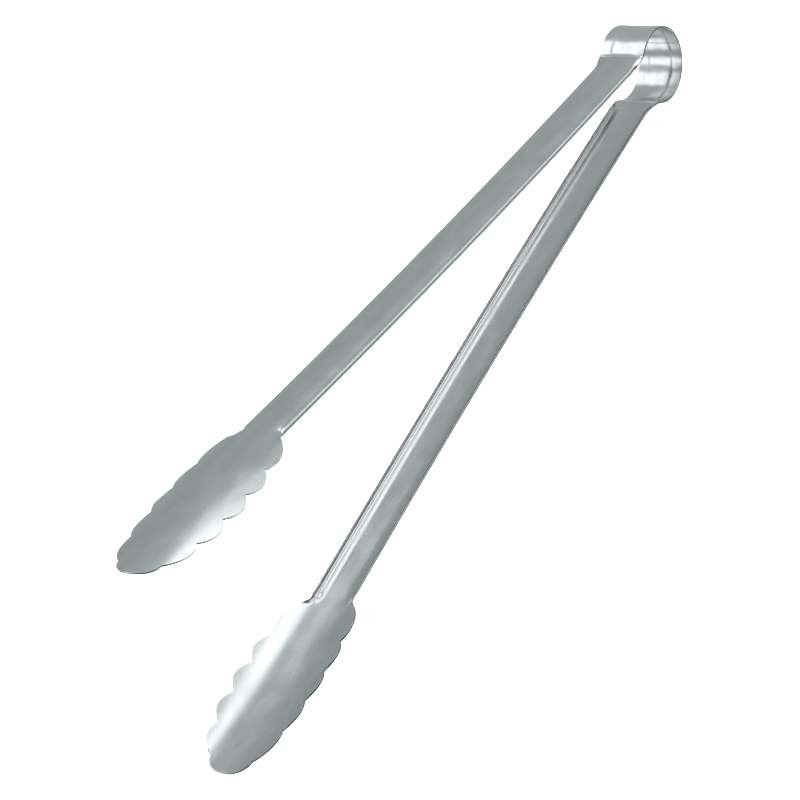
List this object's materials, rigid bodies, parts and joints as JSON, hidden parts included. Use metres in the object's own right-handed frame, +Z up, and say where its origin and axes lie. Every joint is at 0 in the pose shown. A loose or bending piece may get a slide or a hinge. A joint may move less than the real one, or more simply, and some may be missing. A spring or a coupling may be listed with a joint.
{
  "type": "spring tongs",
  "caption": "Spring tongs pressed from stainless strip: a ring-shaped sprung bow, channel-section arms and hollow scalloped blades.",
  "frame": {"origin": "middle of the underside of the box round the tongs, which lie on their side", "axes": "+Z up, along the axis of the sprung bow; the arms point to -Y and open along X, left arm at -X"},
  "size_m": [0.1016, 0.4062, 0.0406],
  "materials": {
    "satin_stainless": "satin, as rolled and tumbled",
    "polished_stainless": "bright polished"
  },
  "bodies": {
    "bow": {"spring_bow": "polished_stainless"},
    "left_arm": {"left_neck": "satin_stainless", "left_handle": "satin_stainless", "left_blade": "satin_stainless"},
    "right_arm": {"right_neck": "satin_stainless", "right_handle": "satin_stainless", "right_blade": "satin_stainless"}
  },
  "joints": [
    {"name": "left_arm_squeeze", "type": "hinge", "parent": "bow", "child": "left_arm", "pos_m": [0, 0.18662, 0.02031], "axis": [0, 0, 1], "range_deg": [0, 6.9], "stiffness_Nm_per_rad": 6},
    {"name": "right_arm_squeeze", "type": "hinge", "parent": "bow", "child": "right_arm", "pos_m": [0, 0.18662, 0.02031], "axis": [0, 0, 1], "range_deg": [-6.9, 0], "stiffness_Nm_per_rad": 6}
  ],
  "couplings": [
    {"joint": "right_arm_squeeze", "follows": "left_arm_squeeze", "ratio": -1}
  ]
}
